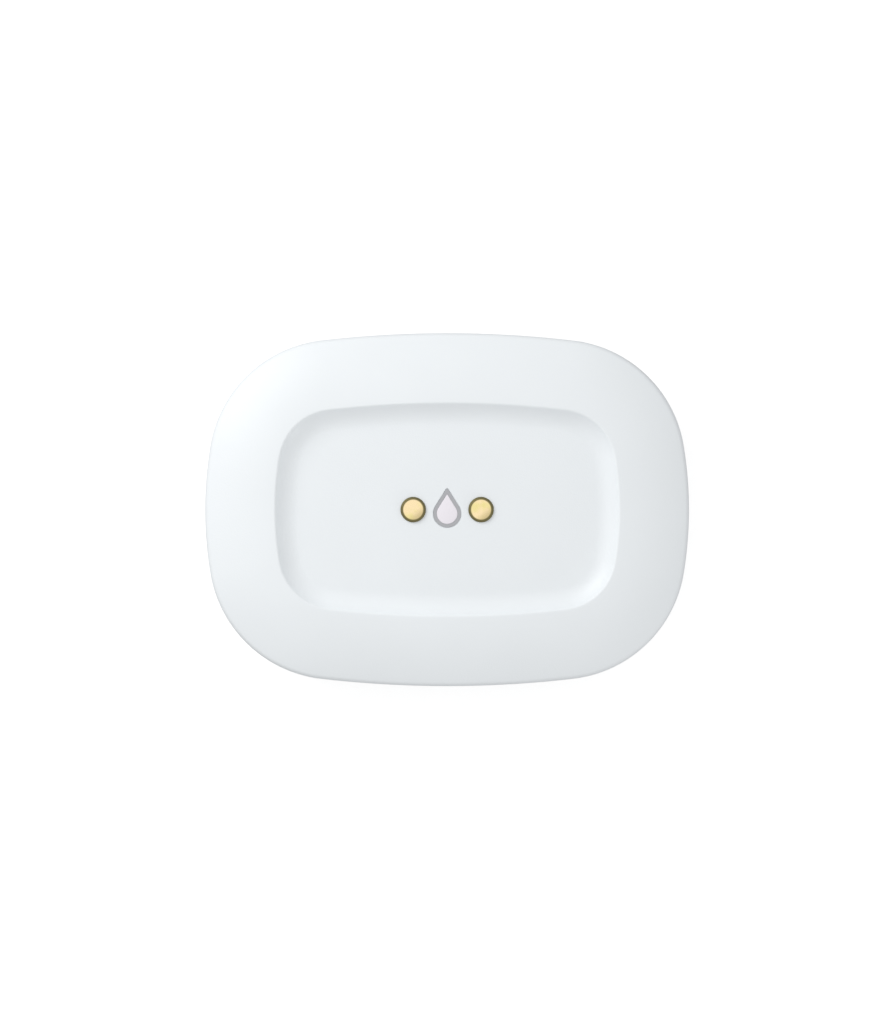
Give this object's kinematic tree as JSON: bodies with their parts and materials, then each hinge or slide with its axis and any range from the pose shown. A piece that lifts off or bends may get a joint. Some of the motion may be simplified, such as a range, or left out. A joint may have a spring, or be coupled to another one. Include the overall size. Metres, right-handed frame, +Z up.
{
  "type": "water leak sensor",
  "caption": "Rounded white water leak sensor with a dished top, gold contacts, a water-drop light and a hinged battery door below.",
  "frame": {"origin": "on the floor under the middle of the case", "axes": "+X along the case towards the battery end, +Y across it in the direction that the water drop points, +Z up"},
  "size_m": [0.061, 0.0444, 0.0218],
  "materials": {
    "case_white": "satin",
    "inner_white": "matte",
    "gold_plating": "polished",
    "drop_lens": "satin",
    "seal_grey": "matte",
    "plated_steel": "satin",
    "spring_steel": "satin",
    "screw_steel": "satin",
    "cell_wrap": "satin",
    "board_green": "satin",
    "chip_black": "matte",
    "antenna_ceramic": "satin",
    "capacitor_tan": "satin",
    "button_grey": "satin"
  },
  "bodies": {
    "root": {"top_cover": "case_white", "bottom_base": "case_white", "case_gasket": "seal_grey", "hinge_pin": "screw_steel", "battery_cell": "cell_wrap", "battery_positive_cap": "plated_steel", "battery_contact_negative": "plated_steel", "battery_contact_positive": "plated_steel", "battery_spring": "spring_steel", "battery_cradle": "inner_white", "circuit_board": "board_green", "board_screws": "screw_steel", "case_screws": "screw_steel", "drip_contact_left": "gold_plating", "drip_contact_right": "gold_plating", "drip_contact_seals": "seal_grey", "drip_contact_retainers": "plated_steel", "drip_contact_spring_left": "spring_steel", "drip_contact_spring_right": "spring_steel", "droplet_light_pipe": "drop_lens", "floor_contact_front_left": "gold_plating", "floor_contact_front_right": "gold_plating", "floor_contact_rear_left": "gold_plating", "floor_contact_rear_right": "gold_plating", "contact_strip_front": "plated_steel", "contact_strip_rear": "plated_steel", "strip_spring_front": "spring_steel", "strip_spring_rear": "spring_steel", "pair_switch": "chip_black", "radio_shield": "plated_steel", "radio_chip": "chip_black", "chip_antenna": "antenna_ceramic", "clock_crystal": "plated_steel", "voltage_regulator": "chip_black", "thermometer_chip": "chip_black", "status_light": "antenna_ceramic", "board_capacitors": "capacitor_tan"},
    "battery_door": {"battery_door": "case_white", "door_gasket": "seal_grey"},
    "pair_button": {"pair_button": "button_grey", "button_seal": "seal_grey"},
    "switch_plunger": {"switch_plunger": "button_grey"}
  },
  "joints": [
    {"name": "battery_door_hinge", "type": "hinge", "parent": "root", "child": "battery_door", "pos_m": [0.0039, 0, 0.0017], "axis": [0, 1, 0], "range_deg": [0, 95]},
    {"name": "pair_button_press", "type": "slide", "parent": "root", "child": "pair_button", "axis": [0, 0, 1], "range_m": [0, 0.00025], "stiffness_N_per_m": 1200, "springref_m": -0.0002},
    {"name": "switch_plunger_travel", "type": "slide", "parent": "root", "child": "switch_plunger", "axis": [0, 0, 1], "range_m": [0, 0.00025]}
  ],
  "couplings": [
    {"joint": "switch_plunger_travel", "follows": "pair_button_press", "ratio": 1}
  ]
}
